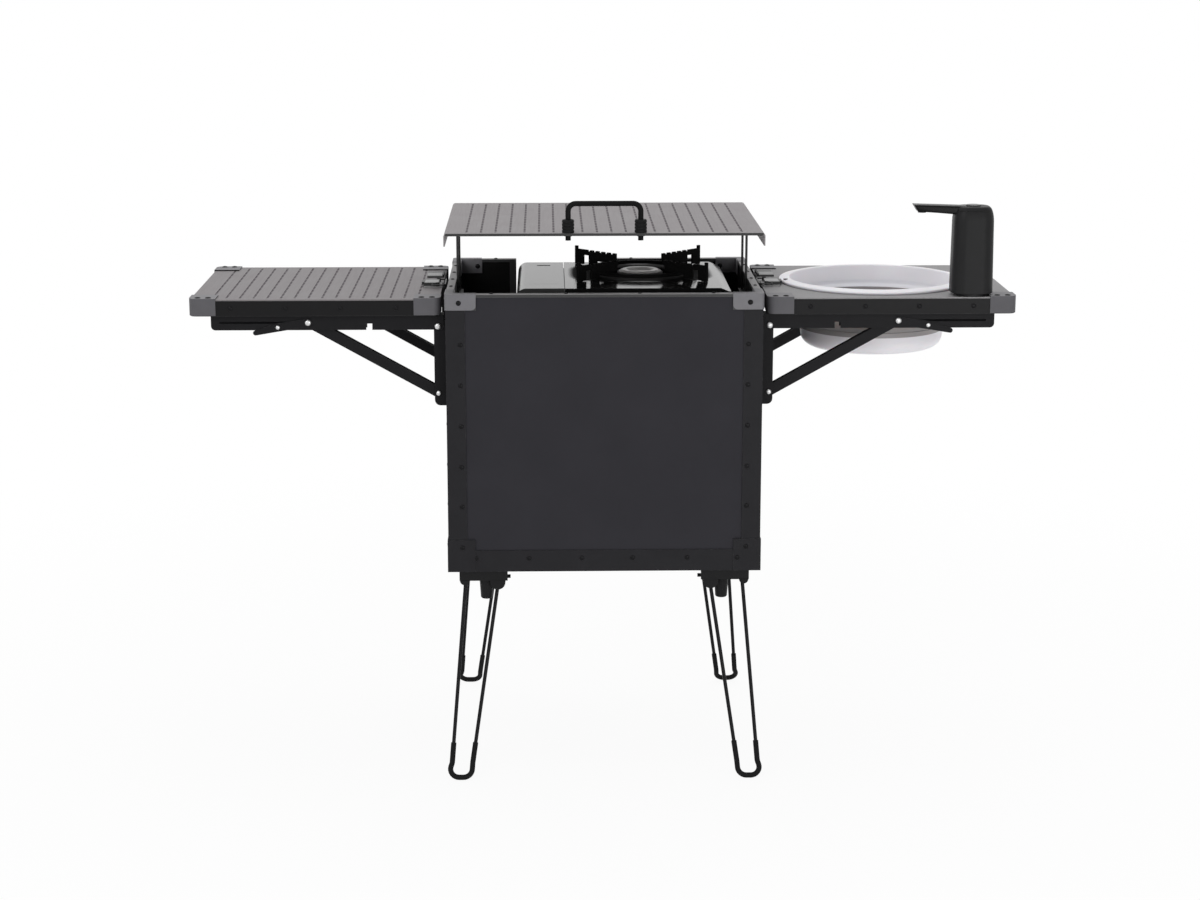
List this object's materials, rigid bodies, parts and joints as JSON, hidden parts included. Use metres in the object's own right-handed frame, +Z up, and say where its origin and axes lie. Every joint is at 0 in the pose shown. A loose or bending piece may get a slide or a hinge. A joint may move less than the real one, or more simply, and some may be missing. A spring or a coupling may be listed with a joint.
{
  "type": "chuck box",
  "caption": "Camping kitchen box on folding hairpin legs, with a sliding lid, a cassette stove, folding side tables on locking brackets, a collapsible sink and a tap.",
  "frame": {"origin": "on the floor, below the middle of the box", "axes": "+X towards the sink's side, +Y towards the cook's side, where the gas knob is, +Z up"},
  "size_m": [1.302, 0.5102, 0.9244],
  "materials": {
    "charcoal_panel": "satin charcoal skin on foam-core board",
    "grey_trim": "satin grey metal trim",
    "black_steel": "semi-gloss black powder coat",
    "stove_enamel": "black enamel, semi-gloss",
    "gloss_enamel": "high-gloss black enamel",
    "cast_metal": "matt black",
    "black_plastic": "satin black",
    "grey_plastic": "light grey push button",
    "pale_sheet": "satin warm grey, fine dashed grooves",
    "grey_sheet": "grey, fine stipple",
    "zinc_wire": "bright zinc",
    "white_plastic": "white, semi-gloss",
    "grey_silicone": "matt grey silicone",
    "leg_wire": "black rod with rubber foot sleeve"
  },
  "bodies": {
    "box": {"back_panel": "charcoal_panel", "front_panel": "charcoal_panel", "left_panel": "charcoal_panel", "right_panel": "charcoal_panel", "floor_panel": "charcoal_panel", "edge_frame": "black_steel", "top_rim": "grey_trim", "stove_shelf": "grey_trim", "wire_guide_left": "black_plastic", "wire_guide_right": "black_plastic", "stove_body": "stove_enamel", "stove_top": "gloss_enamel", "burner_head": "cast_metal", "wall_bracket_left_back": "black_steel", "wall_bracket_left_front": "black_steel", "wall_bracket_right_back": "black_steel", "wall_bracket_right_front": "black_steel", "leg_mount_left_back": "black_plastic", "leg_mount_left_front": "black_plastic", "leg_mount_right_back": "black_plastic", "leg_mount_right_front": "black_plastic"},
    "lid": {"lid_panel": "pale_sheet", "lid_wire_left": "zinc_wire", "lid_wire_right": "zinc_wire"},
    "handle": {"lid_handle": "black_steel"},
    "stove_lid": {"cartridge_lid": "stove_enamel"},
    "grate": {"pan_support": "cast_metal"},
    "knob": {"control_knob": "black_plastic"},
    "cartridge_lock": {"cartridge_lever": "black_plastic"},
    "left_table": {"left_table_top": "pale_sheet", "left_table_frame": "black_steel", "arm_left_back": "black_steel", "arm_left_front": "black_steel"},
    "right_table": {"right_table_top": "grey_sheet", "right_table_frame": "black_steel", "arm_right_back": "black_steel", "arm_right_front": "black_steel", "tap_base": "black_plastic"},
    "left_braces": {"brace_left_back": "black_steel", "brace_left_front": "black_steel"},
    "right_braces": {"brace_right_back": "black_steel", "brace_right_front": "black_steel"},
    "bowl": {"bowl_rim": "white_plastic", "bowl_collar": "grey_silicone"},
    "pan": {"bowl_pan": "white_plastic"},
    "tap": {"tap_body": "black_plastic"},
    "button": {"tap_button": "grey_plastic"},
    "left_latch": {"left_latch_lever": "grey_trim"},
    "left_bail": {"left_latch_bail": "zinc_wire"},
    "left_back_release": {"release_lever_left_back": "black_steel"},
    "left_back_leg": {"leg_left_back": "leg_wire"},
    "left_front_release": {"release_lever_left_front": "black_steel"},
    "left_front_leg": {"leg_left_front": "leg_wire"},
    "right_latch": {"right_latch_lever": "grey_trim"},
    "right_bail": {"right_latch_bail": "zinc_wire"},
    "right_back_release": {"release_lever_right_back": "black_steel"},
    "right_back_leg": {"leg_right_back": "leg_wire"},
    "right_front_release": {"release_lever_right_front": "black_steel"},
    "right_front_leg": {"leg_right_front": "leg_wire"}
  },
  "joints": [
    {"name": "lid_slide", "type": "slide", "parent": "box", "child": "lid", "axis": [0, 0, 1], "range_m": [-0.055, 0]},
    {"name": "handle_slide", "type": "slide", "parent": "lid", "child": "handle", "axis": [0, 0, 1], "range_m": [-0.013, 0]},
    {"name": "cartridge_lid_hinge", "type": "hinge", "parent": "box", "child": "stove_lid", "pos_m": [-0.134, 0.003, 0.763], "axis": [0, -1, 0], "range_deg": [0, 85]},
    {"name": "pan_support_lift", "type": "slide", "parent": "box", "child": "grate", "axis": [0, 0, 1], "range_m": [0, 0.035]},
    {"name": "gas_knob_turn", "type": "hinge", "parent": "box", "child": "knob", "pos_m": [-0.097, 0.148, 0.735], "axis": [0, 1, 0], "range_deg": [0, 90]},
    {"name": "cartridge_lever_slide", "type": "slide", "parent": "box", "child": "cartridge_lock", "axis": [0, 0, 1], "range_m": [-0.014, 0]},
    {"name": "bowl_lift", "type": "slide", "parent": "right_table", "child": "bowl", "axis": [0, 0, 1], "range_m": [0, 0.06]},
    {"name": "bowl_collapse", "type": "slide", "parent": "bowl", "child": "pan", "axis": [0, 0, 1], "range_m": [0, 0.035], "deforming": ["bowl_collar"]},
    {"name": "tap_swivel", "type": "hinge", "parent": "right_table", "child": "tap", "pos_m": [0.582, -0.147, 0.774], "axis": [0, 0, 1], "range_deg": [-90, 90]},
    {"name": "tap_button_press", "type": "slide", "parent": "tap", "child": "button", "axis": [0, 0, -1], "range_m": [0, 0.0015], "stiffness_N_per_m": 300, "springref_m": -0.002},
    {"name": "left_table_fold", "type": "hinge", "parent": "box", "child": "left_table", "pos_m": [-0.262, 0, 0.724], "axis": [0, -1, 0], "range_deg": [0, 90]},
    {"name": "left_brace_swing", "type": "hinge", "parent": "box", "child": "left_braces", "pos_m": [-0.262, 0, 0.616], "axis": [0, -1, 0], "range_deg": [0, 117.8]},
    {"name": "left_latch_turn", "type": "hinge", "parent": "left_table", "child": "left_latch", "pos_m": [-0.266, -0.032, 0.7741], "axis": [0, 1, 0], "range_deg": [0, 100]},
    {"name": "left_bail_turn", "type": "hinge", "parent": "left_latch", "child": "left_bail", "pos_m": [-0.275, -0.032, 0.7741], "axis": [0, -1, 0], "range_deg": [0, 100]},
    {"name": "left_back_release", "type": "hinge", "parent": "left_table", "child": "left_back_release", "pos_m": [-0.5137, -0.1636, 0.723], "axis": [0, 1, 0], "range_deg": [0, 12], "stiffness_Nm_per_rad": 0.3, "springref_deg": -11.46},
    {"name": "left_back_leg_fold", "type": "hinge", "parent": "box", "child": "left_back_leg", "pos_m": [-0.1955, -0.175, 0.318], "axis": [1, 0, 0], "range_deg": [0, 100]},
    {"name": "left_front_release", "type": "hinge", "parent": "left_table", "child": "left_front_release", "pos_m": [-0.5137, 0.1636, 0.723], "axis": [0, 1, 0], "range_deg": [0, 12], "stiffness_Nm_per_rad": 0.3, "springref_deg": -11.46},
    {"name": "left_front_leg_fold", "type": "hinge", "parent": "box", "child": "left_front_leg", "pos_m": [-0.1955, 0.175, 0.318], "axis": [-1, 0, 0], "range_deg": [0, 97]},
    {"name": "right_table_fold", "type": "hinge", "parent": "box", "child": "right_table", "pos_m": [0.262, 0, 0.724], "axis": [0, 1, 0], "range_deg": [0, 55]},
    {"name": "right_brace_swing", "type": "hinge", "parent": "box", "child": "right_braces", "pos_m": [0.262, 0, 0.616], "axis": [0, 1, 0], "range_deg": [0, 67.4]},
    {"name": "right_latch_turn", "type": "hinge", "parent": "right_table", "child": "right_latch", "pos_m": [0.266, -0.032, 0.7741], "axis": [0, -1, 0], "range_deg": [0, 100]},
    {"name": "right_bail_turn", "type": "hinge", "parent": "right_latch", "child": "right_bail", "pos_m": [0.275, -0.032, 0.7741], "axis": [0, 1, 0], "range_deg": [0, 100]},
    {"name": "right_back_release", "type": "hinge", "parent": "right_table", "child": "right_back_release", "pos_m": [0.5137, -0.1636, 0.723], "axis": [0, -1, 0], "range_deg": [0, 12], "stiffness_Nm_per_rad": 0.3, "springref_deg": -11.46},
    {"name": "right_back_leg_fold", "type": "hinge", "parent": "box", "child": "right_back_leg", "pos_m": [0.1955, -0.175, 0.318], "axis": [1, 0, 0], "range_deg": [0, 100]},
    {"name": "right_front_release", "type": "hinge", "parent": "right_table", "child": "right_front_release", "pos_m": [0.5137, 0.1636, 0.723], "axis": [0, -1, 0], "range_deg": [0, 12], "stiffness_Nm_per_rad": 0.3, "springref_deg": -11.46},
    {"name": "right_front_leg_fold", "type": "hinge", "parent": "box", "child": "right_front_leg", "pos_m": [0.1955, 0.175, 0.318], "axis": [-1, 0, 0], "range_deg": [0, 97]}
  ],
  "couplings": [
    {"joint": "left_brace_swing", "follows": "left_table_fold", "ratio": 1.3077},
    {"joint": "left_bail_turn", "follows": "left_latch_turn", "ratio": 1},
    {"joint": "right_brace_swing", "follows": "right_table_fold", "ratio": 1.2233},
    {"joint": "right_bail_turn", "follows": "right_latch_turn", "ratio": 1}
  ]
}
